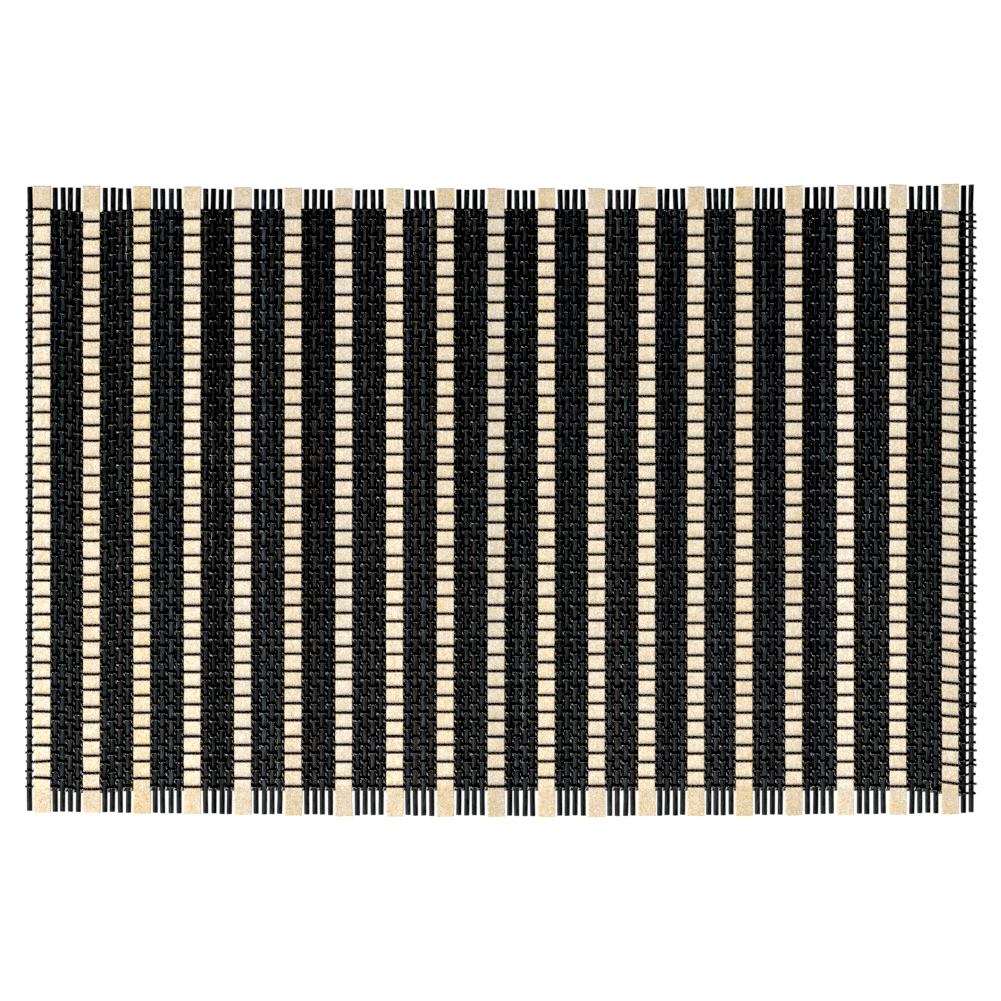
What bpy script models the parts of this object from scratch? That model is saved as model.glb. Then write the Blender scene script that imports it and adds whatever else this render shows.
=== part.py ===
"""Bamboo placemat: flat natural slats and thin black sticks, woven side by side on black cotton threads.

Metres, +Z up. The mat lies flat on z = 0 with +X along its length, across the slats, and +Y along the slats.
The threads run along X, over and under each strip in turn. Four black sticks and the threads that bind them
make one woven band, and a natural slat lies between each two bands. The threads themselves are finer than
these solids: a band has their thickness, so a strip's free ends stand one thread above the table.
"""

import math
import random

import bmesh
import bpy
from mathutils import Matrix, Vector

MM = 0.001

# Bamboo strips
NATURAL_SLATS = 19
NATURAL_WIDTH = 8.4 * MM
NATURAL_LENGTH = 298.4 * MM
STICKS_IN_BAND = 4
STICK_WIDTH = 2.55 * MM
STICK_LENGTH = 297.0 * MM
STRIP_THICKNESS = 1.4 * MM
SLAT_CHAMFER = 0.25 * MM
RIGHT_EDGE_GROWTH = 0.8 * MM  # the strips at the right edge are this much longer than those in the middle

# Spacing across the mat
REPEAT = 23.93 * MM  # from one natural slat to the next
STICK_PITCH = 3.8 * MM  # in a band that is one repeat wide
PIECE_GAP = 0.3 * MM  # between a band and its slat
LEFT_EDGE_STEP = 5.78 * MM  # from the first slat to the stick beside it
RIGHT_EDGE_STEP = 6.35 * MM  # from the last slat to the stick beside it
RIGHT_EDGE_PITCH = 3.86 * MM

# How far the strips have crept along the mat, to the right, at natural slat 0, 1, 2 ... from the left
CREEP = (
    (0, 0.0),
    (1, -0.5 * MM),
    (5, -0.6 * MM),
    (9, 0.0),
    (12, -0.35 * MM),
    (13, -1.0 * MM),
    (14, -2.05 * MM),
    (15, -2.45 * MM),
    (16, -1.85 * MM),
    (18, 0.0),
)

# Warp threads
THREADS = 70
THREAD_PITCH = 3.963 * MM
THREAD_THICKNESS = 0.8 * MM
FIRST_THREAD_Y = 137.5 * MM  # the far one, measured from the middle of the mat
ROW_SAG = 1.6 * MM  # the middle rows lie this much nearer than an even spacing would put them

# How the strips have slid along their own length, and how their free ends stray sideways
SLIDE_AT_ENDS = 0.5 * MM
SLIDE_IN_MIDDLE = -1.4 * MM
END_UNEVENNESS = 0.25 * MM
TIP_STRAY = 0.25 * MM
STRAY_SEED = 7

# Where the rows of thread dip towards the near side: place in repeats from the first slat, reach,
# and depth at the far and near edges of the weave
DIP_COLUMNS = ("place", "reach", "far_depth", "near_depth")
DIPS = (
    (1.0, 12.0 * MM, 2.0 * MM, 1.3 * MM),
    (18.3, 16.0 * MM, 0.9 * MM, 2.6 * MM),
)

MAT_THICKNESS = STRIP_THICKNESS + 2 * THREAD_THICKNESS
MIDDLE_Z = MAT_THICKNESS / 2
FIRST_SLAT_X = -(NATURAL_SLATS - 1) * REPEAT / 2
WEAVE_LENGTH = (THREADS - 1) * THREAD_PITCH

# A band's ridge over each stick, as half widths and heights above the middle of the mat
RIDGE_FLAT = (0.72 * MM, MAT_THICKNESS / 2)
RIDGE_SHOULDER = (1.42 * MM, MAT_THICKNESS / 2 - 0.38 * MM)
VALLEY_HEIGHT = 0.68 * MM
BAND_EDGE_HEIGHT = 0.95 * MM

NATURAL_BAMBOO = {"colour": (0.86, 0.73, 0.53, 1.0), "roughness": 0.55}
BLACK_BAMBOO = {"colour": (0.012, 0.014, 0.014, 1.0), "roughness": 0.45}
BLACK_COTTON = {"colour": (0.008, 0.008, 0.009, 1.0), "roughness": 0.85}


def clear_scene():
    for old in list(bpy.data.objects):
        bpy.data.objects.remove(old, do_unlink=True)


def new_collection(name):
    collection = bpy.data.collections.new(name)
    bpy.context.scene.collection.children.link(collection)
    return collection


def new_material(name, finish):
    material = bpy.data.materials.new(name)
    material.use_nodes = True
    shader = material.node_tree.nodes["Principled BSDF"]
    shader.inputs["Base Color"].default_value = finish["colour"]
    shader.inputs["Roughness"].default_value = finish["roughness"]
    shader.inputs["Metallic"].default_value = 0.0
    return material


def add_object(name, mesh, collection, material):
    obj = bpy.data.objects.new(name, mesh)
    collection.objects.link(obj)
    obj.data.materials.append(material)
    return obj


def box_mesh(name, width, length, height):
    """A box about its own origin: width along X, length along Y, height along Z."""
    shape = bmesh.new()
    bmesh.ops.create_cube(shape, size=1.0)
    bmesh.ops.scale(shape, vec=(width, length, height), verts=shape.verts)
    mesh = bpy.data.meshes.new(name)
    shape.to_mesh(mesh)
    shape.free()
    return mesh


def creep_at(number):
    """The creep at a slat, or between two slats where number isn't whole."""
    for (start, near), (end, far) in zip(CREEP, CREEP[1:]):
        if number <= end:
            return near + (far - near) * (number - start) / (end - start)
    return 0.0


def slat_x(number):
    """The middle of natural slat 0, 1, 2 ... from the left."""
    return FIRST_SLAT_X + number * REPEAT + creep_at(number)


def slide_at(x):
    """How far a strip at x has slid along Y: the mat's short edges bow a little."""
    bow = math.cos(math.pi * x / (NATURAL_SLATS * REPEAT))
    return SLIDE_AT_ENDS + (SLIDE_IN_MIDDLE - SLIDE_AT_ENDS) * bow


def growth_at(x):
    return RIGHT_EDGE_GROWTH * x / slat_x(NATURAL_SLATS - 1)


def thread_row_y(x, row):
    """The height along Y of thread row 0 (the far one) to THREADS - 1 (the near one), where it passes x."""
    share = row / (THREADS - 1)
    y = FIRST_THREAD_Y - row * THREAD_PITCH - ROW_SAG * math.sin(math.pi * share)
    for values in DIPS:
        dip = dict(zip(DIP_COLUMNS, values))
        depth = dip["far_depth"] + (dip["near_depth"] - dip["far_depth"]) * share
        y -= depth * math.exp(-(((x - slat_x(dip["place"])) / dip["reach"]) ** 2))
    return y


def join_to(target, other):
    """Unites other with target and keeps the result in target's mesh."""
    union = target.modifiers.new("union", "BOOLEAN")
    union.operation = "UNION"
    union.object = other
    evaluated = target.evaluated_get(bpy.context.evaluated_depsgraph_get())
    mesh = bpy.data.meshes.new_from_object(evaluated)
    target.modifiers.remove(union)
    target.data = mesh
    bpy.data.objects.remove(other, do_unlink=True)


def natural_slat(number, collection, material, stray):
    """A flat split slat with its skin planed off and its edges eased."""
    x = slat_x(number)
    length = NATURAL_LENGTH + growth_at(x)
    name = f"natural_slat_{number + 1:02d}"
    slat = add_object(name, box_mesh(name, NATURAL_WIDTH, length, STRIP_THICKNESS), collection, material)
    slat.location = (x, slide_at(x) + stray.uniform(-1, 1) * END_UNEVENNESS, MIDDLE_Z)
    bevel = slat.modifiers.new("eased edges", "BEVEL")
    bevel.width = SLAT_CHAMFER
    bevel.segments = 1
    return slat


def black_stick(name, x, collection, material, stray, inward=0):
    """A thin stick. Its two tips stray sideways by themselves; with inward of 1 or -1 they stray that way only."""
    length = STICK_LENGTH + growth_at(x)
    far, near = (stray.uniform(-1, 1) * TIP_STRAY for _ in range(2))
    if inward:
        far, near = inward * abs(far), inward * abs(near)
    stick = add_object(name, box_mesh(name, STICK_WIDTH, length, STRIP_THICKNESS), collection, material)
    stick.location = (x + (far + near) / 2, slide_at(x) + stray.uniform(-1, 1) * END_UNEVENNESS, MIDDLE_Z)
    stick.rotation_euler = (0, 0, -math.atan2(far - near, length))
    bpy.context.view_layer.update()
    return stick


def band_outline(half_width, pitch):
    """The band's section as (x, height) points: a ridge over each stick, mirrored below."""
    top = [(-half_width, BAND_EDGE_HEIGHT)]
    for number in range(STICKS_IN_BAND):
        middle = (number - (STICKS_IN_BAND - 1) / 2) * pitch
        if number:
            top.append((middle - pitch / 2, VALLEY_HEIGHT))
            top.append((middle - RIDGE_SHOULDER[0], RIDGE_SHOULDER[1]))
        top.append((middle - RIDGE_FLAT[0], RIDGE_FLAT[1]))
        top.append((middle + RIDGE_FLAT[0], RIDGE_FLAT[1]))
        if number < STICKS_IN_BAND - 1:
            top.append((middle + RIDGE_SHOULDER[0], RIDGE_SHOULDER[1]))
    top.append((half_width, BAND_EDGE_HEIGHT))
    return top + [(x, -height) for x, height in reversed(top)]


def bound_weave(name, centre_x, outline, collection, material):
    """The threads and filling yarn that hold four sticks, as one ribbed sheet with slightly dipped ends."""
    curve = bpy.data.curves.new(name, "CURVE")
    curve.dimensions = "2D"
    curve.fill_mode = "BOTH"
    curve.extrude = WEAVE_LENGTH / 2
    spline = curve.splines.new("POLY")
    spline.points.add(len(outline) - 1)
    for point, (x, height) in zip(spline.points, outline):
        point.co = (x, height, 0, 1)
    spline.use_cyclic_u = True
    shape = bpy.data.objects.new(name + "_section", curve)
    collection.objects.link(shape)
    shape.rotation_euler = (math.pi / 2, 0, 0)
    shape.location = (centre_x, 0, MIDDLE_Z)
    bpy.context.view_layer.update()
    mesh = bpy.data.meshes.new_from_object(shape.evaluated_get(bpy.context.evaluated_depsgraph_get()))
    mesh.transform(shape.matrix_world)
    bpy.data.objects.remove(shape, do_unlink=True)

    solid = bmesh.new()
    solid.from_mesh(mesh)
    bmesh.ops.remove_doubles(solid, verts=solid.verts, dist=0.00001)
    for vertex in solid.verts:
        row, margin = (0, THREAD_THICKNESS) if vertex.co.y > 0 else (THREADS - 1, -THREAD_THICKNESS)
        vertex.co.y = thread_row_y(vertex.co.x, row) + margin / 2
    bmesh.ops.recalc_face_normals(solid, faces=solid.faces)
    solid.to_mesh(mesh)
    solid.free()
    mesh.materials.clear()
    return add_object(name, mesh, collection, material)


def black_band(number, collection, cotton, bamboo, stray):
    """Four black sticks in their weave. Their tips stand out at both ends."""
    left_x, right_x = slat_x(number), slat_x(number + 1)
    centre_x = (left_x + right_x) / 2
    pitch = STICK_PITCH * (right_x - left_x) / REPEAT
    half_width = (right_x - left_x - NATURAL_WIDTH) / 2 - PIECE_GAP
    outline = band_outline(half_width, pitch)
    band = bound_weave(f"black_band_{number + 1:02d}", centre_x, outline, collection, cotton)
    for place in range(STICKS_IN_BAND):
        x = centre_x + (place - (STICKS_IN_BAND - 1) / 2) * pitch
        inward = {0: 1, STICKS_IN_BAND - 1: -1}.get(place, 0)
        join_to(band, black_stick("stick", x, collection, bamboo, stray, inward))
    return band


def thread_rungs(name, left_x, right_x, collection, material):
    """The stretch of every thread that shows in the open gap between two sticks."""
    rungs = bmesh.new()
    middle_x = (left_x + right_x) / 2
    reach = right_x - left_x - STICK_WIDTH / 2
    for row in range(THREADS):
        place = Matrix.Translation((middle_x, thread_row_y(middle_x, row), MIDDLE_Z))
        size = Matrix.Diagonal((reach, THREAD_THICKNESS, THREAD_THICKNESS, 1.0))
        bmesh.ops.create_cube(rungs, size=1.0, matrix=place @ size)
    mesh = bpy.data.meshes.new(name)
    rungs.to_mesh(mesh)
    rungs.free()
    return add_object(name, mesh, collection, material)


def right_edge_sticks(collection, bamboo, stray):
    """The last two sticks, with an open gap between them that the threads cross."""
    first_x = slat_x(NATURAL_SLATS - 1) + RIGHT_EDGE_STEP
    second_x = first_x + RIGHT_EDGE_PITCH
    pair = black_stick("right_edge_sticks", first_x, collection, bamboo, stray, inward=1)
    pair.data.transform(pair.matrix_world)
    pair.matrix_world = Matrix.Identity(4)
    join_to(pair, black_stick("stick", second_x, collection, bamboo, stray, inward=-1))
    join_to(pair, thread_rungs("rungs", first_x, second_x, collection, bamboo))
    return pair


def left_edge_stick(collection, bamboo, stray):
    x = slat_x(0) - LEFT_EDGE_STEP
    return black_stick("left_edge_stick", x, collection, bamboo, stray, inward=-1)


def centre_on_origin(pieces):
    """Moves the finished mat so that the middle of its underside is the origin."""
    bpy.context.view_layer.update()
    corners = [piece.matrix_world @ Vector(corner) for piece in pieces for corner in piece.bound_box]
    middle_x = (min(c.x for c in corners) + max(c.x for c in corners)) / 2
    middle_y = (min(c.y for c in corners) + max(c.y for c in corners)) / 2
    for piece in pieces:
        piece.location.x -= middle_x
        piece.location.y -= middle_y


def build_placemat():
    clear_scene()
    collection = new_collection("bamboo placemat")
    natural = new_material("natural bamboo", NATURAL_BAMBOO)
    black = new_material("black bamboo", BLACK_BAMBOO)
    cotton = new_material("black cotton", BLACK_COTTON)
    stray = random.Random(STRAY_SEED)
    pieces = [left_edge_stick(collection, black, stray)]
    for number in range(NATURAL_SLATS):
        pieces.append(natural_slat(number, collection, natural, stray))
        if number < NATURAL_SLATS - 1:
            pieces.append(black_band(number, collection, cotton, black, stray))
    pieces.append(right_edge_sticks(collection, black, stray))
    centre_on_origin(pieces)


build_placemat()
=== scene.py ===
"""Bamboo placemat: the looks of every piece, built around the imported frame.

Natural slats and black-dyed sticks lie side by side along Y. Black cotton threads run along X, over and
under each strip in turn, and soft black filling yarn lies in the gaps beside the sticks. Metres, +Z up,
mat flat on z = 0.
"""

import math
import random
from collections import namedtuple

import bpy
import numpy as np
from bpy.props import FloatProperty, FloatVectorProperty, PointerProperty
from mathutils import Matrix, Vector


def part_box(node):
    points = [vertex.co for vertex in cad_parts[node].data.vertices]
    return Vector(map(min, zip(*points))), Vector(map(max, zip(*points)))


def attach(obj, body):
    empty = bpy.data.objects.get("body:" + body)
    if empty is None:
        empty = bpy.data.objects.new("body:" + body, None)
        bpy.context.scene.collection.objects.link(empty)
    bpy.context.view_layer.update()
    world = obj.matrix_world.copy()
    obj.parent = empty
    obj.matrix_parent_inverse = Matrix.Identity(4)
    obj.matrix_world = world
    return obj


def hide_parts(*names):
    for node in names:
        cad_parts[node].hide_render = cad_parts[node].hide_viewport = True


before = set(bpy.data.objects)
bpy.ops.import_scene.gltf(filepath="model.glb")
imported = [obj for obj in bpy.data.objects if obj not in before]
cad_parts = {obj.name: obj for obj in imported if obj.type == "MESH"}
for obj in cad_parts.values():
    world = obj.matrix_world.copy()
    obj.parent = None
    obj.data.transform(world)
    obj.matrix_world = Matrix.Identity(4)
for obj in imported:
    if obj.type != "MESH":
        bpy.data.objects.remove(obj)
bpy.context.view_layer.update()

bl_info = {
    "name": "Bamboo Placemat",
    "version": (1, 0, 0),
    "blender": (4, 5, 0),
    "location": "3D View > Sidebar > Placemat",
    "description": "Weaves a placemat of natural slats and black sticks on black cotton threads",
    "category": "Add Mesh",
}

MM = 0.001

# Sizes that the CAD model has, in the order from left to right that its strips are laid in
NATURAL_SLATS = 19
NATURAL_WIDTH = 8.4 * MM
STICKS_IN_BAND = 4
STICK_WIDTH = 2.55 * MM
STICK_LENGTH = 297.0 * MM
STRIP_THICKNESS = 1.4 * MM
RIGHT_EDGE_GROWTH = 0.8 * MM
REPEAT = 23.93 * MM
STICK_PITCH = 3.8 * MM
LEFT_EDGE_STEP = 5.78 * MM
RIGHT_EDGE_STEP = 6.35 * MM
RIGHT_EDGE_PITCH = 3.86 * MM
CREEP = (
    (0, 0.0),
    (1, -0.5 * MM),
    (5, -0.6 * MM),
    (9, 0.0),
    (12, -0.35 * MM),
    (13, -1.0 * MM),
    (14, -2.05 * MM),
    (15, -2.45 * MM),
    (16, -1.85 * MM),
    (18, 0.0),
)
THREADS = 70
THREAD_PITCH = 3.963 * MM
FIRST_THREAD_Y = 137.5 * MM
ROW_SAG = 1.6 * MM
SLIDE_AT_ENDS = 0.5 * MM
SLIDE_IN_MIDDLE = -1.4 * MM
END_UNEVENNESS = 0.25 * MM
TIP_STRAY = 0.25 * MM
STRAY_SEED = 7
DIP_COLUMNS = ("place", "reach", "far_depth", "near_depth")
DIPS = (
    (1.0, 12.0 * MM, 2.0 * MM, 1.3 * MM),
    (18.3, 16.0 * MM, 0.9 * MM, 2.6 * MM),
)
MAT_THICKNESS = 3.0 * MM

FIRST_SLAT_X = -(NATURAL_SLATS - 1) * REPEAT / 2
MIDDLE_Z = MAT_THICKNESS / 2

# Strips: how finely they are modelled along their length, their sawn ends, and what is random about them
SLAT_STATIONS = 48
STICK_STATIONS = 36
WAVE_STEP = 5
BOW_STEP = 12
WIDTH_STEP = 4
END_BEVEL = 0.12 * MM
END_SHARE = 0.03
SLAT_SEED = 21
STICK_SEED = 12
SLAT_TONE_SPREAD = 0.045
RIPENESS_SPREAD = 0.1
STICK_TONE_SPREAD = 0.35
DARKEST_STICK = 0.4
CAST_RANGE = (0.15, 0.85)
# Painted highlight on a slat's edges: where it starts across the width, and how much paler the left and
# right edges are drawn, the left more as lit from the left
EDGE_HIGHLIGHT_SHARE = 0.45
LEFT_EDGE_HIGHLIGHT, RIGHT_EDGE_HIGHLIGHT = 1.1, 1.07

# Where a thread's middle runs as it passes a strip: distance out from the strip's edge, height above the
# middle of the mat. Each list goes from the gap in to the strip's middle, and is mirrored past it.
UNDER_STICK = ((0.22 * MM, -0.84 * MM), (-0.35 * MM, -1.10 * MM))
OVER_STICK = (
    (0.36 * MM, 0.55 * MM),
    (0.10 * MM, 0.93 * MM),
    (-0.30 * MM, 1.08 * MM),
    (-0.85 * MM, 1.10 * MM),
)
UNDER_SLAT = ((0.12 * MM, -0.84 * MM), (-0.45 * MM, -1.10 * MM))
OVER_SLAT = (
    (0.17 * MM, 0.70 * MM),
    (-0.04 * MM, 0.98 * MM),
    (-0.45 * MM, 1.09 * MM),
    (-2.20 * MM, 1.10 * MM),
)

# Threads: sides of a yarn, rows in one piece, how their girth varies, and how far their cut ends stand out
STRAND_SIDES = 6
THREADS_IN_PIECE = 14
THREAD_SEED = 13
DRIFT_STEP = 6
THREAD_SWELL = 0.06
THREAD_SWELL_STEP = 3
LEFT_STUB = (0.05 * MM, 0.35 * MM)
LEFT_STUB_STRAY = 0.2 * MM
LEFT_STUB_FALL = 0.4 * MM
RIGHT_STUB = (0.3 * MM, 1.1 * MM)
RIGHT_STUB_DROOP = 0.5 * MM
RIGHT_STUB_FALL = 0.5 * MM

# Filling yarn: height above the middle of the mat, and how far it rises and falls at the threads
FILLING_BY_SLAT = (0.58 * MM, 0.06 * MM)
FILLING_BY_STICK = (0.28 * MM, 0.1 * MM)
FILLING_HALF_HEIGHT = 0.4 * MM
FILLING_END = 0.5 * MM
FILLING_SWELL = 0.07
FILLING_SWELL_STEP = 2
FILLING_SEED = 14
# Share of the painted warm bounce light from the pale bamboo, on filling yarn beside a slat
FILLING_WARM_BOUNCE = 0.6
FILLING_TWIST = 1.6

# Shader sockets that have the same name twice
MIX_FACTOR, MIX_A, MIX_B, MIX_RESULT = 0, 6, 7, 2

Strip = namedtuple("Strip", "node kind x y length width lean")


def linear(hex_colour):
    """An sRGB hex colour such as "F0DFC1" as linear red, green and blue."""
    values = (int(hex_colour[i : i + 2], 16) / 255 for i in (0, 2, 4))
    return tuple(v / 12.92 if v <= 0.04045 else ((v + 0.055) / 1.055) ** 2.4 for v in values)


def opaque(colour):
    return (*colour, 1.0)


class PlacematStrips(bpy.types.PropertyGroup):
    """How the bamboo strips are finished."""

    slat_edge: FloatProperty(
        name="Slat edge",
        description="Radius of a natural slat's eased edges",
        default=0.28 * MM,
        unit="LENGTH",
    )
    stick_edge: FloatProperty(
        name="Stick edge",
        description="Radius of a black stick's eased edges",
        default=0.42 * MM,
        unit="LENGTH",
    )
    stick_crown: FloatProperty(
        name="Stick crown",
        description="How far a black stick's top falls to its sides",
        default=0.42 * MM,
        unit="LENGTH",
    )
    waviness: FloatProperty(
        name="Waviness",
        description="How far a strip's sides wander along it",
        default=0.05 * MM,
        unit="LENGTH",
    )
    bow: FloatProperty(
        name="Bow",
        description="How far a strip bends off its line",
        default=0.12 * MM,
        unit="LENGTH",
    )
    cut_skew: FloatProperty(
        name="Cut skew",
        description="Typical slant of a strip's sawn ends",
        default=math.radians(1.3),
        subtype="ANGLE",
    )


class PlacematThreads(bpy.types.PropertyGroup):
    """The cotton that holds the strips."""

    width: FloatProperty(
        name="Width",
        description="Width of a thread on a natural slat",
        default=1.04 * MM,
        unit="LENGTH",
    )
    spread: FloatProperty(
        name="Spread",
        description="How much wider a thread lies on a black stick",
        default=1.25,
    )
    height: FloatProperty(
        name="Height",
        description="Height of a thread on a strip",
        default=0.78 * MM,
        unit="LENGTH",
    )
    twist: FloatProperty(
        name="Twist",
        description="Length of one turn of the two plies",
        default=2.0 * MM,
        unit="LENGTH",
    )
    unevenness: FloatProperty(
        name="Unevenness",
        description="How far a thread wanders from its row",
        default=0.24 * MM,
        unit="LENGTH",
    )
    edge_unevenness: FloatProperty(
        name="Edge unevenness",
        description="How much further it wanders at the first and last slats",
        default=0.5 * MM,
        unit="LENGTH",
    )
    slat_overlap: FloatProperty(
        name="Overlap on slats",
        description="How far the filling yarn swells over a natural slat's edge",
        default=0.48 * MM,
        unit="LENGTH",
    )
    stick_overlap: FloatProperty(
        name="Overlap on sticks",
        description="How far the filling yarn swells over a black stick's edge",
        default=0.22 * MM,
        unit="LENGTH",
    )


class PlacematColours(bpy.types.PropertyGroup):
    """The colours of the bamboo and the cotton."""

    natural_light: FloatVectorProperty(
        name="Natural, light",
        description="Bamboo between the fibres",
        default=linear("EADCC5"),
        subtype="COLOR",
    )
    natural_fibre: FloatVectorProperty(
        name="Natural, fibre",
        description="Bamboo along the fibres",
        default=linear("DACAAD"),
        subtype="COLOR",
    )
    natural_end: FloatVectorProperty(
        name="Natural, free end",
        description="Bamboo outside the weave",
        default=linear("D6C4A6"),
        subtype="COLOR",
    )
    dye: FloatVectorProperty(
        name="Dye",
        description="Black-dyed bamboo",
        default=linear("232424"),
        subtype="COLOR",
    )
    dye_teal: FloatVectorProperty(
        name="Dye, teal",
        description="Where the dye has a blue-green cast",
        default=linear("202829"),
        subtype="COLOR",
    )
    dye_blue: FloatVectorProperty(
        name="Dye, blue",
        description="Where the dye has a blue-grey cast",
        default=linear("21232A"),
        subtype="COLOR",
    )
    dye_brown: FloatVectorProperty(
        name="Dye, brown",
        description="Where the bamboo shows through",
        default=linear("292523"),
        subtype="COLOR",
    )
    cotton: FloatVectorProperty(
        name="Cotton",
        description="Black cotton",
        default=linear("0A0807"),
        subtype="COLOR",
    )
    # Painted warm bounce light: the same black cotton, drawn browner where it lies beside pale bamboo
    cotton_warm_bounce: FloatVectorProperty(
        name="Cotton, warm",
        description="Black cotton beside pale bamboo",
        default=linear("180F0A"),
        subtype="COLOR",
    )


class PlacematStudio(bpy.types.PropertyGroup):
    """The light and the view."""

    softbox_power: FloatVectorProperty(
        name="Softbox power",
        description="Of the left and of the right one, in watts",
        default=(410.0, 135.0),
        size=2,
    )
    softbox_size: FloatVectorProperty(
        name="Softbox size",
        description="Width and height",
        default=(1.6, 3.3),
        size=2,
        subtype="XYZ",
        unit="LENGTH",
    )
    softbox_distance: FloatProperty(
        name="Softbox distance",
        description="From the middle of the mat",
        default=4.5,
        unit="LENGTH",
    )
    softbox_turn: FloatProperty(
        name="Softbox turn",
        description="How far each stands round from the near side",
        default=math.radians(42),
        subtype="ANGLE",
    )
    softbox_elevation: FloatProperty(
        name="Softbox elevation",
        description="How high each stands, seen from the mat",
        default=math.radians(27),
        subtype="ANGLE",
    )
    fill: FloatProperty(name="Fill", description="Brightness of the surrounding room", default=0.05)
    black_level: FloatProperty(
        name="Black level",
        description="Light that the picture shows as black",
        default=0.020,
    )
    floor: FloatVectorProperty(
        name="Floor",
        description="Colour of the table",
        default=linear("FDFDFD"),
        subtype="COLOR",
    )
    lens: FloatProperty(name="Lens", description="Focal length in millimetres", default=100.0)
    framed_width: FloatProperty(
        name="Framed width",
        description="Width of the view at the mat's height",
        default=474.4 * MM,
        unit="LENGTH",
    )
    camera_offset: FloatVectorProperty(
        name="Camera offset",
        description="From above the middle of the weave",
        default=(-0.03 * MM, -0.3 * MM),
        size=2,
        subtype="XYZ",
        unit="LENGTH",
    )


def slat_x(number):
    """The middle of natural slat 0, 1, 2 ... from the left, measured from the middle of the weave."""
    return FIRST_SLAT_X + number * REPEAT + float(np.interp(number, *zip(*CREEP)))


def slide_at(x):
    """How far a strip at x has slid along Y: the mat's long edges bow a little."""
    bow = math.cos(math.pi * x / (NATURAL_SLATS * REPEAT))
    return SLIDE_AT_ENDS + (SLIDE_IN_MIDDLE - SLIDE_AT_ENDS) * bow


def thread_row_y(x, row):
    """Where thread row 0 (the far one) to THREADS - 1 (the near one) passes x."""
    share = row / (THREADS - 1)
    y = FIRST_THREAD_Y - row * THREAD_PITCH - ROW_SAG * math.sin(math.pi * share)
    for values in DIPS:
        dip = dict(zip(DIP_COLUMNS, values))
        depth = dip["far_depth"] + (dip["near_depth"] - dip["far_depth"]) * share
        y -= depth * math.exp(-(((x - slat_x(dip["place"])) / dip["reach"]) ** 2))
    return y


def black_strip(node, x, stray, inward=0):
    """A stick with the same stray tips as its solid: lean is the sideways shift along its length."""
    length = STICK_LENGTH + RIGHT_EDGE_GROWTH * x / slat_x(NATURAL_SLATS - 1)
    far, near = (stray.uniform(-1, 1) * TIP_STRAY for _ in range(2))
    if inward:
        far, near = inward * abs(far), inward * abs(near)
    y = slide_at(x) + stray.uniform(-1, 1) * END_UNEVENNESS
    return Strip(node, "stick", x + (far + near) / 2, y, length, STICK_WIDTH, (far - near) / length)


def natural_strip(number, stray):
    """A slat whose length comes from its solid."""
    node = f"natural_slat_{number + 1:02d}"
    low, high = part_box(node)
    y = slide_at(slat_x(number)) + stray.uniform(-1, 1) * END_UNEVENNESS
    return Strip(node, "slat", slat_x(number), y, high.y - low.y, NATURAL_WIDTH, 0.0)


def laid_strips():
    """All strips from left to right, measured from the middle of the weave."""
    stray = random.Random(STRAY_SEED)
    strips = [black_strip("left_edge_stick", slat_x(0) - LEFT_EDGE_STEP, stray, inward=-1)]
    for number in range(NATURAL_SLATS):
        strips.append(natural_strip(number, stray))
        if number == NATURAL_SLATS - 1:
            break
        left_x, right_x = slat_x(number), slat_x(number + 1)
        pitch = STICK_PITCH * (right_x - left_x) / REPEAT
        for place in range(STICKS_IN_BAND):
            x = (left_x + right_x) / 2 + (place - (STICKS_IN_BAND - 1) / 2) * pitch
            inward = {0: 1, STICKS_IN_BAND - 1: -1}.get(place, 0)
            strips.append(black_strip(f"black_band_{number + 1:02d}", x, stray, inward))
    first_x = slat_x(NATURAL_SLATS - 1) + RIGHT_EDGE_STEP
    strips.append(black_strip("right_edge_sticks", first_x, stray, inward=1))
    strips.append(black_strip("right_edge_sticks", first_x + RIGHT_EDGE_PITCH, stray, inward=-1))
    return strips


STRIPS = laid_strips()
FIRST_SLAT_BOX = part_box(STRIPS[1].node)
# From the middle of the weave to the frame's origin, which is the middle of the whole mat
SHIFT = (
    (FIRST_SLAT_BOX[0].x + FIRST_SLAT_BOX[1].x) / 2 - STRIPS[1].x,
    (FIRST_SLAT_BOX[0].y + FIRST_SLAT_BOX[1].y) / 2 - STRIPS[1].y,
    MIDDLE_Z,
)


def strip_x(strip, y):
    """The middle of a strip where it passes y."""
    return strip.x + strip.lean * (y - strip.y)


def thread_is_over(row, place):
    """Plain weave: each thread goes over one strip and under the next, and its neighbours the other way."""
    return (row + place) % 2 == 1


def wander(stray, count, step, size):
    """count numbers that drift about zero: a new random value every step, straight lines between."""
    knots = [stray.gauss(0, size) for _ in range(int(count / step) + 2)]
    return np.interp(np.arange(count) / step, range(len(knots)), knots)


def new_piece(name, points, faces):
    mesh = bpy.data.meshes.new(name)
    mesh.from_pydata(np.asarray(points) + SHIFT, [], faces)
    mesh.shade_smooth()
    piece = bpy.data.objects.new(name, mesh)
    bpy.context.collection.objects.link(piece)
    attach(piece, "root")
    return piece


def point_attribute(piece, name, values):
    """One number at each point, such as the tone of the strip that it belongs to."""
    layer = piece.data.attributes.new(name, "FLOAT", "POINT")
    layer.data.foreach_set("value", np.asarray(values, dtype=np.float32))


def eased_outline(width, thickness, ease, corner_steps, flat_steps, crown=0.0):
    """A strip's section with rounded edges and a domed top: (x, z) points for top, right, bottom, left."""
    half_width, half_height = width / 2 - ease, thickness / 2 - ease
    outline = []
    for corner_x, corner_z, start in ((1, 1, 90), (1, -1, 0), (-1, -1, -90), (-1, 1, -180)):
        for step in range(corner_steps + 1):
            angle = math.radians(start - 90 * step / corner_steps)
            x = corner_x * half_width + ease * math.cos(angle)
            z = corner_z * half_height + ease * math.sin(angle)
            outline.append((x, z))
        if corner_x == corner_z:
            continue
        for step in range(1, flat_steps):
            x = corner_x * half_width * (1 - 2 * step / flat_steps)
            outline.append((x, corner_z * thickness / 2))
    return np.array([(x, z - crown * (2 * x / width) ** 2 if z > 0 else z) for x, z in outline])


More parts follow.
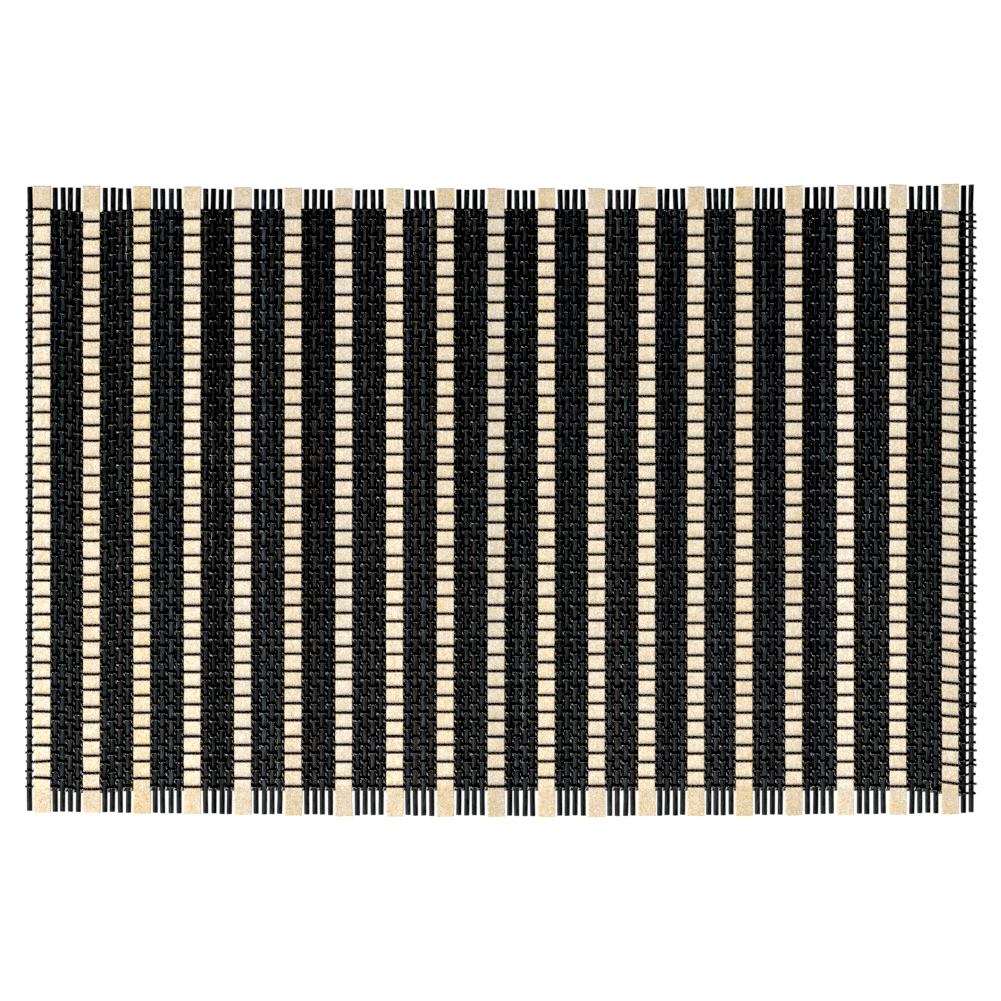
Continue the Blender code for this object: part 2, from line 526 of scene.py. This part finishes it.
def painted_edge_highlights(outline, width):
    """The tone round a strip's section, with a painted highlight: its edges are drawn a little paler than
    its face, the left one more, as lit from the left.
    """
    tones = np.ones(len(outline))
    tones[outline[:, 0] < -EDGE_HIGHLIGHT_SHARE * width] = LEFT_EDGE_HIGHLIGHT
    tones[outline[:, 0] > EDGE_HIGHLIGHT_SHARE * width] = RIGHT_EDGE_HIGHLIGHT
    return tones


def add_tube_faces(faces, start, rings, sides):
    """The faces of a tube whose rings of points follow each other from start."""
    for ring in range(rings - 1):
        base = start + ring * sides
        for side in range(sides):
            after = (side + 1) % sides
            faces.append((base + side, base + after, base + sides + after, base + sides + side))
    last = start + (rings - 1) * sides
    faces.append(tuple(start + side for side in reversed(range(sides))))
    faces.append(tuple(last + side for side in range(sides)))


def add_strip(points, faces, strip, outline, stations, finish, stray):
    """Adds one strip: its outline repeated along Y, with slightly uneven sides and skewed sawn ends."""
    start = len(points)
    half = strip.length / 2
    far_end = [half - 3 * END_BEVEL, half - END_BEVEL, half]
    along = [-y for y in reversed(far_end)] + list(np.linspace(-half, half, stations)[1:-1]) + far_end
    side_shift = wander(stray, len(along), WAVE_STEP, finish.waviness)
    side_shift += wander(stray, len(along), BOW_STEP, finish.bow)
    widen = 1 + wander(stray, len(along), WIDTH_STEP, finish.waviness / strip.width)
    skews = [math.tan(stray.gauss(0, finish.cut_skew)) for _ in range(2)]
    for number, y in enumerate(along):
        at_end = number in (0, len(along) - 1)
        shrink = 1 - 2 * END_BEVEL / strip.width if at_end else 1
        skew = skews[0] if y < 0 else skews[1]
        taper = max(0.0, (abs(y) / half - (1 - END_SHARE)) / END_SHARE)
        for x, z in outline:
            wide = x * shrink * widen[number]
            height = z * (1 - 2 * END_BEVEL / STRIP_THICKNESS) if at_end else z
            side = strip_x(strip, strip.y + y) + side_shift[number] * (1 - taper)
            points.append((side + wide, strip.y + y + skew * wide * taper, height))
    add_tube_faces(faces, start, len(along), len(outline))
    return len(points) - start


def add_strand(points, faces, lengths, path, half_width, half_height, swell):
    """Adds a closed yarn along path, with UVs: along it in metres, and round it from 0 to 1."""
    start, sides = len(points), STRAND_SIDES
    path = np.asarray(path)
    tangent = np.gradient(path, axis=0)
    tangent /= np.linalg.norm(tangent, axis=1, keepdims=True)
    across = np.cross((0.0, 0.0, 1.0), tangent)
    across /= np.linalg.norm(across, axis=1, keepdims=True)
    up = np.cross(tangent, across)
    along = np.concatenate(([0.0], np.cumsum(np.linalg.norm(np.diff(path, axis=0), axis=1))))
    angles = 2 * math.pi * np.arange(sides) / sides
    for place, centre in enumerate(path):
        width, height = half_width[place] * swell[place], half_height * swell[place]
        for angle in angles:
            out = across[place] * width * math.cos(angle)
            points.append(centre + out + up[place] * height * math.sin(angle))
    add_tube_faces(faces, start, len(path), sides)
    for near, far in zip(along, along[1:]):
        for side in range(sides):
            low, high = side / sides, (side + 1) / sides
            lengths.extend(((near, low), (near, high), (far, high), (far, low)))
    lengths.extend((along[0], side / sides) for side in reversed(range(sides)))
    lengths.extend((along[-1], side / sides) for side in range(sides))


def new_yarn_piece(name, points, faces, lengths, pale_bounce_share, material):
    piece = new_piece(name, points, faces)
    layer = piece.data.uv_layers.new(name="yarn")
    layer.data.foreach_set("uv", np.asarray(lengths, dtype=np.float32).ravel())
    point_attribute(piece, "pale_bounce_share", pale_bounce_share)
    piece.data.materials.append(material)


def add_node(tree, kind, settings=None, links=None):
    """Adds a node. settings gives its properties and socket values, links joins its sockets to others."""
    node = tree.nodes.new(kind)
    for name, value in (settings or {}).items():
        if isinstance(name, str) and hasattr(node, name):
            setattr(node, name, value)
        else:
            node.inputs[name].default_value = value
    for name, (source, output) in (links or {}).items():
        tree.links.new(source.outputs[output], node.inputs[name])
    return node


def new_material(name):
    """A material with nothing but its shader and output."""
    material = bpy.data.materials.new(name)
    material.use_nodes = True
    tree = material.node_tree
    tree.nodes.clear()
    shader = add_node(tree, "ShaderNodeBsdfPrincipled")
    add_node(tree, "ShaderNodeOutputMaterial", links={"Surface": (shader, "BSDF")})
    return material, tree, shader


def per_metre(*sizes_mm):
    """Texture scales that give features of these sizes in millimetres along X, Y and Z."""
    return tuple(1 / (size * MM) for size in sizes_mm)


def bamboo_grain(tree, place, size_mm, detail=2.0, roughness=0.6):
    """Noise drawn out along the fibres."""
    scale = {"Scale": per_metre(*size_mm)}
    stretched = add_node(tree, "ShaderNodeMapping", scale, {"Vector": (place, "Object")})
    settings = {"Scale": 1.0, "Detail": detail, "Roughness": roughness}
    return add_node(tree, "ShaderNodeTexNoise", settings, {"Vector": (stretched, "Vector")})


def free_end_mask(tree, place):
    """0 inside the weave, 1 on the free ends past the first and last threads."""
    weave_half = (THREADS - 1) * THREAD_PITCH / 2
    weave_middle = FIRST_THREAD_Y - weave_half + SHIFT[1]
    axes = add_node(tree, "ShaderNodeSeparateXYZ", links={"Vector": (place, "Object")})
    offset = add_node(
        tree, "ShaderNodeMath", {"operation": "SUBTRACT", 1: weave_middle}, {0: (axes, "Y")}
    )
    distance = add_node(tree, "ShaderNodeMath", {"operation": "ABSOLUTE"}, {0: (offset, "Value")})
    return add_node(
        tree,
        "ShaderNodeMapRange",
        {"From Min": weave_half - 1.0 * MM, "From Max": weave_half + 1.5 * MM},
        {"Value": (distance, "Value")},
    )


def planed_bamboo(colours):
    """Bamboo, split, planed and left raw: pale and dull, with fine long fibres, in a tone for each slat."""
    material, tree, shader = new_material("Planed natural bamboo")
    place = add_node(tree, "ShaderNodeTexCoord")
    fibres = bamboo_grain(tree, place, (0.28, 9.0, 0.5), detail=3.0)
    bundles = bamboo_grain(tree, place, (0.5, 1.6, 0.6))
    # Pores are finer than this in the real slat, and drawn as coarse as they need to show
    pores = bamboo_grain(tree, place, (0.5, 0.65, 0.6), detail=3.0)
    cloud = bamboo_grain(tree, place, (5.0, 8.0, 5.0))
    blush = bamboo_grain(tree, place, (4.0, 6.0, 4.0), detail=4.0, roughness=0.9)
    # tone carries the slat's own tone and the painted highlight on its edges
    tone = add_node(tree, "ShaderNodeAttribute", {"attribute_name": "tone"})
    ripeness = add_node(tree, "ShaderNodeAttribute", {"attribute_name": "ripeness"})
    contrast = add_node(
        tree,
        "ShaderNodeMapRange",
        {"From Min": 0.38, "From Max": 0.72, "To Max": 0.75},
        {"Value": (fibres, "Fac")},
    )
    ground = add_node(
        tree,
        "ShaderNodeMix",
        {
            "data_type": "RGBA",
            MIX_A: opaque(colours.natural_light),
            MIX_B: opaque(colours.natural_fibre),
        },
        {MIX_FACTOR: (contrast, "Result")},
    )
    end = free_end_mask(tree, place)
    end_share = add_node(
        tree, "ShaderNodeMath", {"operation": "MULTIPLY", 1: 0.75}, {0: (end, "Result")}
    )
    toned = add_node(
        tree,
        "ShaderNodeMix",
        {"data_type": "RGBA", MIX_B: opaque(colours.natural_end)},
        {MIX_FACTOR: (end_share, "Value"), MIX_A: (ground, MIX_RESULT)},
    )
    fleck = add_node(
        tree,
        "ShaderNodeMapRange",
        {"From Min": 0.62, "From Max": 0.8, "To Min": 1.0, "To Max": 0.86},
        {"Value": (bundles, "Fac")},
    )
    clouded = add_node(
        tree,
        "ShaderNodeMapRange",
        {"From Min": 0.3, "From Max": 0.7, "To Min": 0.95, "To Max": 1.04},
        {"Value": (cloud, "Fac")},
    )
    grain = add_node(
        tree,
        "ShaderNodeMapRange",
        {"From Min": 0.3, "From Max": 0.7, "To Min": 0.62, "To Max": 1.35},
        {"Value": (pores, "Fac")},
    )
    shade = add_node(
        tree,
        "ShaderNodeMath",
        {"operation": "MULTIPLY"},
        {0: (fleck, "Result"), 1: (clouded, "Result")},
    )
    grained = add_node(
        tree,
        "ShaderNodeMath",
        {"operation": "MULTIPLY"},
        {0: (shade, "Value"), 1: (grain, "Result")},
    )
    level = add_node(
        tree,
        "ShaderNodeMath",
        {"operation": "MULTIPLY"},
        {0: (grained, "Value"), 1: (tone, "Fac")},
    )
    warmth = add_node(
        tree,
        "ShaderNodeMapRange",
        {"From Min": 0.3, "From Max": 0.7, "To Min": 0.5, "To Max": 1.5},
        {"Value": (blush, "Fac")},
    )
    saturation = add_node(
        tree,
        "ShaderNodeMath",
        {"operation": "MULTIPLY"},
        {0: (warmth, "Result"), 1: (ripeness, "Fac")},
    )
    colour = add_node(
        tree,
        "ShaderNodeHueSaturation",
        links={
            "Color": (toned, MIX_RESULT),
            "Value": (level, "Value"),
            "Saturation": (saturation, "Value"),
        },
    )
    relief = add_node(
        tree, "ShaderNodeBump", {"Strength": 0.5, "Distance": 0.05 * MM}, {"Height": (fibres, "Fac")}
    )
    tree.links.new(colour.outputs["Color"], shader.inputs["Base Color"])
    tree.links.new(relief.outputs["Normal"], shader.inputs["Normal"])
    shader.inputs["Roughness"].default_value = 0.6
    shader.inputs["Specular IOR Level"].default_value = 0.35
    return material


def dyed_bamboo(colours):
    """Bamboo, split into sticks and dyed black: deep and satin, with streaks and a cast that drifts."""
    material, tree, shader = new_material("Dyed black bamboo")
    place = add_node(tree, "ShaderNodeTexCoord")
    streaks = bamboo_grain(tree, place, (0.45, 4.0, 0.6), detail=3.0)
    patches = bamboo_grain(tree, place, (2.2, 9.0, 3.0))
    tone = add_node(tree, "ShaderNodeAttribute", {"attribute_name": "tone"})
    cast = add_node(tree, "ShaderNodeAttribute", {"attribute_name": "cast"})
    drift = add_node(
        tree, "ShaderNodeMath", {"operation": "MULTIPLY_ADD", 1: 1.3, 2: -0.65}, {0: (patches, "Fac")}
    )
    shifted = add_node(
        tree, "ShaderNodeMath", {"operation": "ADD"}, {0: (drift, "Value"), 1: (cast, "Fac")}
    )
    ground = add_node(tree, "ShaderNodeValToRGB", links={"Fac": (shifted, "Value")})
    ramp = ground.color_ramp
    ramp.elements[0].color = opaque(colours.dye_brown)
    ramp.elements[1].color = opaque(colours.dye_blue)
    ramp.elements.new(0.35).color = opaque(colours.dye)
    ramp.elements.new(0.65).color = opaque(colours.dye_teal)
    # Squared, so that most of a stick is dark and a few streaks are much lighter
    spread = add_node(
        tree, "ShaderNodeMapRange", {"From Min": 0.32, "From Max": 0.74}, {"Value": (streaks, "Fac")}
    )
    squared = add_node(
        tree, "ShaderNodeMath", {"operation": "POWER", 1: 2.0}, {0: (spread, "Result")}
    )
    streaked = add_node(
        tree, "ShaderNodeMath", {"operation": "MULTIPLY_ADD", 1: 4.0, 2: 0.25}, {0: (squared, "Value")}
    )
    # Drawn darker on the free ends past the weave, down to half
    end = free_end_mask(tree, place)
    darker_on_free_ends = add_node(
        tree, "ShaderNodeMapRange", {"To Min": 1.0, "To Max": 0.5}, {"Value": (end, "Result")}
    )
    toned = add_node(
        tree,
        "ShaderNodeMath",
        {"operation": "MULTIPLY"},
        {0: (darker_on_free_ends, "Result"), 1: (tone, "Fac")},
    )
    level = add_node(
        tree,
        "ShaderNodeMath",
        {"operation": "MULTIPLY"},
        {0: (streaked, "Value"), 1: (toned, "Value")},
    )
    colour = add_node(
        tree,
        "ShaderNodeHueSaturation",
        links={"Color": (ground, "Color"), "Value": (level, "Value")},
    )
    relief = add_node(
        tree, "ShaderNodeBump", {"Strength": 0.8, "Distance": 0.06 * MM}, {"Height": (streaks, "Fac")}
    )
    tree.links.new(colour.outputs["Color"], shader.inputs["Base Color"])
    tree.links.new(relief.outputs["Normal"], shader.inputs["Normal"])
    shader.inputs["Roughness"].default_value = 0.5
    shader.inputs["Specular IOR Level"].default_value = 0.4
    return material


def plied_cotton(name, colours, twist):
    """Cotton, spun, plied in twos and dyed black: very dark, with a grey glint on each turn of the twist."""
    material, tree, shader = new_material(name)
    uv = add_node(tree, "ShaderNodeUVMap", {"uv_map": "yarn"})
    axes = add_node(tree, "ShaderNodeSeparateXYZ", links={"Vector": (uv, "UV")})
    turns = add_node(
        tree, "ShaderNodeMath", {"operation": "MULTIPLY", 1: 2 * math.pi / twist}, {0: (axes, "X")}
    )
    phase = add_node(
        tree,
        "ShaderNodeMath",
        {"operation": "MULTIPLY_ADD", 1: 4 * math.pi},
        {0: (axes, "Y"), 2: (turns, "Value")},
    )
    plies = add_node(tree, "ShaderNodeMath", {"operation": "SINE"}, {0: (phase, "Value")})
    place = add_node(tree, "ShaderNodeTexCoord")
    fuzz = add_node(
        tree,
        "ShaderNodeTexNoise",
        {"Scale": 1 / (0.35 * MM), "Detail": 2.0, "Roughness": 0.65},
        {"Vector": (place, "Object")},
    )
    height = add_node(
        tree,
        "ShaderNodeMath",
        {"operation": "MULTIPLY_ADD", 1: 0.8},
        {0: (fuzz, "Fac"), 2: (plies, "Value")},
    )
    relief = add_node(
        tree, "ShaderNodeBump", {"Strength": 0.9, "Distance": 0.1 * MM}, {"Height": (height, "Value")}
    )
    # Painted bounce light: the cotton is drawn warmer where it lies on or beside pale bamboo
    pale_bounce_share = add_node(tree, "ShaderNodeAttribute", {"attribute_name": "pale_bounce_share"})
    colour = add_node(
        tree,
        "ShaderNodeMix",
        {"data_type": "RGBA", MIX_A: opaque(colours.cotton), MIX_B: opaque(colours.cotton_warm_bounce)},
        {MIX_FACTOR: (pale_bounce_share, "Fac")},
    )
    # Waxed where the fibres lie flat and dull where they stand up, so the glints are broken
    gloss = add_node(
        tree,
        "ShaderNodeMapRange",
        {"From Min": 0.35, "From Max": 0.62, "To Min": 0.5, "To Max": 0.18},
        {"Value": (fuzz, "Fac")},
    )
    tree.links.new(colour.outputs[MIX_RESULT], shader.inputs["Base Color"])
    tree.links.new(gloss.outputs["Result"], shader.inputs["Roughness"])
    tree.links.new(relief.outputs["Normal"], shader.inputs["Normal"])
    shader.inputs["Specular IOR Level"].default_value = 0.8
    return material


def pale_floor(colour):
    """Pale board, lit from within, so that hardly a shadow shows on it."""
    material, _, shader = new_material("Lit pale board")
    shader.inputs["Base Color"].default_value = opaque([0.12 * value for value in colour])
    shader.inputs["Roughness"].default_value = 0.9
    shader.inputs["Specular IOR Level"].default_value = 0.1
    shader.inputs["Emission Color"].default_value = opaque(colour)
    shader.inputs["Emission Strength"].default_value = 1.0
    return material


class PLACEMAT_OT_natural_slats(bpy.types.Operator):
    """Planes the natural slats"""

    bl_idname = "placemat.natural_slats"
    bl_label = "Natural slats"

    def execute(self, context):
        scene = context.scene
        finish = scene.placemat_strips
        material = planed_bamboo(scene.placemat_colours)
        outline = eased_outline(
            NATURAL_WIDTH, STRIP_THICKNESS, finish.slat_edge, corner_steps=3, flat_steps=10
        )
        # tones holds the painted highlight on the slat's edges, and is multiplied by the slat's own tone
        # below
        tones = painted_edge_highlights(outline, NATURAL_WIDTH)
        stray = random.Random(SLAT_SEED)
        for strip in STRIPS:
            if strip.kind != "slat":
                continue
            points, faces = [], []
            count = add_strip(points, faces, strip, outline, SLAT_STATIONS, finish, stray)
            piece = new_piece(strip.node.replace("natural_slat", "planed_slat"), points, faces)
            own_tone = 1 + stray.gauss(0, SLAT_TONE_SPREAD)
            point_attribute(piece, "tone", np.tile(tones, count // len(outline)) * own_tone)
            point_attribute(piece, "ripeness", [1 + stray.gauss(0, RIPENESS_SPREAD)] * count)
            piece.data.materials.append(material)
            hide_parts(strip.node)
        return {"FINISHED"}


class PLACEMAT_OT_black_sticks(bpy.types.Operator):
    bl_idname = "placemat.black_sticks"
    bl_label = "Black sticks"

    def execute(self, context):
        scene = context.scene
        finish = scene.placemat_strips
        sticks = [strip for strip in STRIPS if strip.kind == "stick"]
        outline = eased_outline(
            STICK_WIDTH,
            STRIP_THICKNESS,
            finish.stick_edge,
            corner_steps=3,
            flat_steps=3,
            crown=finish.stick_crown,
        )
        stray = random.Random(STICK_SEED)
        points, faces, tones, casts = [], [], [], []
        for strip in sticks:
            count = add_strip(points, faces, strip, outline, STICK_STATIONS, finish, stray)
            tones += [max(DARKEST_STICK, 1 + stray.gauss(0, STICK_TONE_SPREAD))] * count
            casts += [stray.uniform(*CAST_RANGE)] * count
        piece = new_piece("black_sticks", points, faces)
        point_attribute(piece, "tone", tones)
        point_attribute(piece, "cast", casts)
        piece.data.materials.append(dyed_bamboo(scene.placemat_colours))
        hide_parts(*dict.fromkeys(strip.node for strip in sticks))
        return {"FINISHED"}


def crossing(strip, over):
    """The thread's points as it passes a strip, as (x from the strip's middle, height)."""
    tables = {"stick": (UNDER_STICK, OVER_STICK), "slat": (UNDER_SLAT, OVER_SLAT)}
    table = tables[strip.kind][over]
    half = strip.width / 2
    left = [(-(half + out), height) for out, height in table]
    return left + [(-x, height) for x, height in reversed(left)]


def thread_path(row, settings, stray):
    """One thread between its cut ends: its points, its half widths, and 1 at each point beside a slat."""
    count = len(STRIPS)
    drift = wander(stray, count, DRIFT_STEP, settings.unevenness)
    drift += wander(stray, count, 1, settings.unevenness / 5)
    first, last = (stray.gauss(0, settings.edge_unevenness) for _ in range(2))
    slant_first, slant_last = (stray.gauss(0, settings.edge_unevenness / 2) for _ in range(2))
    path, widths, pale = [], [], []
    for place, strip in enumerate(STRIPS):
        on_slat = strip.kind == "slat"
        edge = first * max(0, 1 - place / 4) + last * max(0, 1 - (count - 1 - place) / 5)
        for out, height in crossing(strip, thread_is_over(row, place)):
            row_y = thread_row_y(strip.x + out, row) + drift[place] + edge
            lean = out / strip.width if on_slat else 0
            row_y += lean * (slant_first if place < 3 else slant_last if place > count - 5 else 0)
            path.append((strip_x(strip, row_y) + out, row_y, height))
            widths.append(settings.width / 2 * (1 if on_slat else settings.spread))
            pale.append(float(on_slat))
    left, right = np.array(path[0]), np.array(path[-1])
    left_stub = left + (
        -stray.uniform(*LEFT_STUB),
        stray.uniform(-LEFT_STUB_STRAY, LEFT_STUB_STRAY),
        -np.sign(left[2]) * LEFT_STUB_FALL,
    )
    right_stub = right + (
        stray.uniform(*RIGHT_STUB),
        -stray.uniform(0.0, RIGHT_STUB_DROOP),
        -np.sign(right[2]) * RIGHT_STUB_FALL,
    )
    return [left_stub, *path, right_stub], [widths[0], *widths, widths[-1]], [0.0, *pale, 0.0]


class PLACEMAT_OT_warp_threads(bpy.types.Operator):
    """Weaves the cotton threads over and under the strips"""

    bl_idname = "placemat.warp_threads"
    bl_label = "Warp threads"

    def execute(self, context):
        scene = context.scene
        settings = scene.placemat_threads
        material = plied_cotton("Plied black cotton", scene.placemat_colours, settings.twist)
        stray = random.Random(THREAD_SEED)
        for start in range(0, THREADS, THREADS_IN_PIECE):
            points, faces, lengths, pale_bounce_share = [], [], [], []
            for row in range(start, start + THREADS_IN_PIECE):
                path, widths, pale = thread_path(row, settings, stray)
                swell = 1 + wander(stray, len(path), THREAD_SWELL_STEP, THREAD_SWELL)
                add_strand(points, faces, lengths, path, widths, settings.height / 2, swell)
                # 1 beside a slat, where painted warm bounce light from the pale bamboo falls on the thread
                pale_bounce_share += list(np.repeat(pale, STRAND_SIDES))
            name = f"warp_threads_{start // THREADS_IN_PIECE + 1}"
            new_yarn_piece(name, points, faces, lengths, pale_bounce_share, material)
        return {"FINISHED"}


def filling_path(left, right, place, by_slat):
    """A yarn that lies in the gap between two strips and passes each thread on its free side."""
    middle, swing = FILLING_BY_SLAT if by_slat else FILLING_BY_STICK
    gap_x = (left.x + right.x + (left.width - right.width) / 2) / 2
    path = []
    for row in range(THREADS):
        y = thread_row_y(gap_x, row)
        side = -1 if thread_is_over(row, place) else 1
        for step, height in ((0.0, middle + side * swing), (0.5, middle)):
            at_y = y - step * THREAD_PITCH
            x = (strip_x(left, at_y) + left.width / 2 + strip_x(right, at_y) - right.width / 2) / 2
            path.append((x, at_y, height))
    path[0] = (path[0][0], path[0][1] + FILLING_END, path[0][2])
    return path


class PLACEMAT_OT_filling_yarn(bpy.types.Operator):
    """Fills the gaps with soft yarn, all but the first and the last one"""

    bl_idname = "placemat.filling_yarn"
    bl_label = "Filling yarn"

    def execute(self, context):
        scene = context.scene
        settings = scene.placemat_threads
        twist = settings.twist * FILLING_TWIST
        material = plied_cotton("Soft black cotton filling", scene.placemat_colours, twist)
        stray = random.Random(FILLING_SEED)
        points, faces, lengths, pale_bounce_share = [], [], [], []
        for place in range(1, len(STRIPS) - 2):
            left, right = STRIPS[place], STRIPS[place + 1]
            by_slat = "slat" in (left.kind, right.kind)
            path = filling_path(left, right, place, by_slat)
            gap = (right.x - right.width / 2) - (left.x + left.width / 2)
            half_width = gap / 2 + (settings.slat_overlap if by_slat else settings.stick_overlap)
            swell = 1 + wander(stray, len(path), FILLING_SWELL_STEP, FILLING_SWELL)
            widths = np.full(len(path), half_width)
            add_strand(points, faces, lengths, path, widths, FILLING_HALF_HEIGHT, swell)
            # Painted warm bounce light on the filling yarn beside a slat
            pale_bounce_share += [FILLING_WARM_BOUNCE * by_slat] * (len(path) * STRAND_SIDES)
        new_yarn_piece("filling_yarn", points, faces, lengths, pale_bounce_share, material)
        return {"FINISHED"}


def aim(obj, target):
    obj.rotation_euler = (Vector(target) - obj.location).to_track_quat("-Z", "Y").to_euler()


class PLACEMAT_OT_stage(bpy.types.Operator):
    """Sets the pale floor, the soft light and the camera"""

    bl_idname = "placemat.stage"
    bl_label = "Stage"

    def execute(self, context):
        scene = context.scene
        studio = scene.placemat_studio
        bpy.ops.mesh.primitive_grid_add(x_subdivisions=4, y_subdivisions=4, size=8.0)
        floor = context.object
        floor.name = "table"
        floor.location.z = -0.05 * MM
        floor.data.materials.append(pale_floor(studio.floor))

        for side in (-1, 1):
            name = "left softbox" if side < 0 else "right softbox"
            data = bpy.data.lights.new(name, "AREA")
            data.shape = "RECTANGLE"
            data.size, data.size_y = studio.softbox_size
            data.energy = studio.softbox_power[side > 0]
            softbox = bpy.data.objects.new(name, data)
            level = studio.softbox_distance * math.cos(studio.softbox_elevation)
            softbox.location = (
                side * level * math.sin(studio.softbox_turn),
                -level * math.cos(studio.softbox_turn),
                studio.softbox_distance * math.sin(studio.softbox_elevation),
            )
            aim(softbox, (0, 0, 0))
            scene.collection.objects.link(softbox)

        world = bpy.data.worlds.new("room")
        world.use_nodes = True
        background = world.node_tree.nodes["Background"]
        background.inputs["Color"].default_value = (1.0, 1.0, 1.0, 1.0)
        background.inputs["Strength"].default_value = studio.fill
        scene.world = world
        scene.view_settings.view_transform = "Standard"
        scene.view_settings.use_curve_mapping = True
        scene.view_settings.curve_mapping.black_level = (studio.black_level,) * 3

        data = bpy.data.cameras.new("camera above")
        data.lens = studio.lens
        camera = bpy.data.objects.new("camera above", data)
        height = studio.framed_width * studio.lens / data.sensor_width
        offset_x, offset_y = studio.camera_offset
        camera.location = (offset_x, SHIFT[1] + offset_y, MAT_THICKNESS + height)
        scene.collection.objects.link(camera)
        scene.camera = camera
        return {"FINISHED"}


class PLACEMAT_PT_panel(bpy.types.Panel):
    bl_label = "Bamboo placemat"
    bl_idname = "PLACEMAT_PT_panel"
    bl_space_type = "VIEW_3D"
    bl_region_type = "UI"
    bl_category = "Placemat"

    def draw(self, context):
        scene = context.scene
        for operator in OPERATORS:
            self.layout.operator(operator.bl_idname)
        for group in GROUPS:
            box = self.layout.box()
            settings = getattr(scene, group)
            for name in GROUPS[group].__annotations__:
                box.prop(settings, name)


OPERATORS = (
    PLACEMAT_OT_natural_slats,
    PLACEMAT_OT_warp_threads,
    PLACEMAT_OT_filling_yarn,
    PLACEMAT_OT_black_sticks,
    PLACEMAT_OT_stage,
)
GROUPS = {
    "placemat_strips": PlacematStrips,
    "placemat_threads": PlacematThreads,
    "placemat_colours": PlacematColours,
    "placemat_studio": PlacematStudio,
}


def register():
    for kind in (*GROUPS.values(), *OPERATORS, PLACEMAT_PT_panel):
        bpy.utils.register_class(kind)
    for name, kind in GROUPS.items():
        setattr(bpy.types.Scene, name, PointerProperty(type=kind))


def unregister():
    for name in GROUPS:
        delattr(bpy.types.Scene, name)
    for kind in reversed((*GROUPS.values(), *OPERATORS, PLACEMAT_PT_panel)):
        bpy.utils.unregister_class(kind)


def main():
    register()
    bpy.ops.placemat.natural_slats()
    bpy.ops.placemat.warp_threads()
    bpy.ops.placemat.filling_yarn()
    bpy.ops.placemat.black_sticks()
    bpy.ops.placemat.stage()


if __name__ == "__main__":
    main()
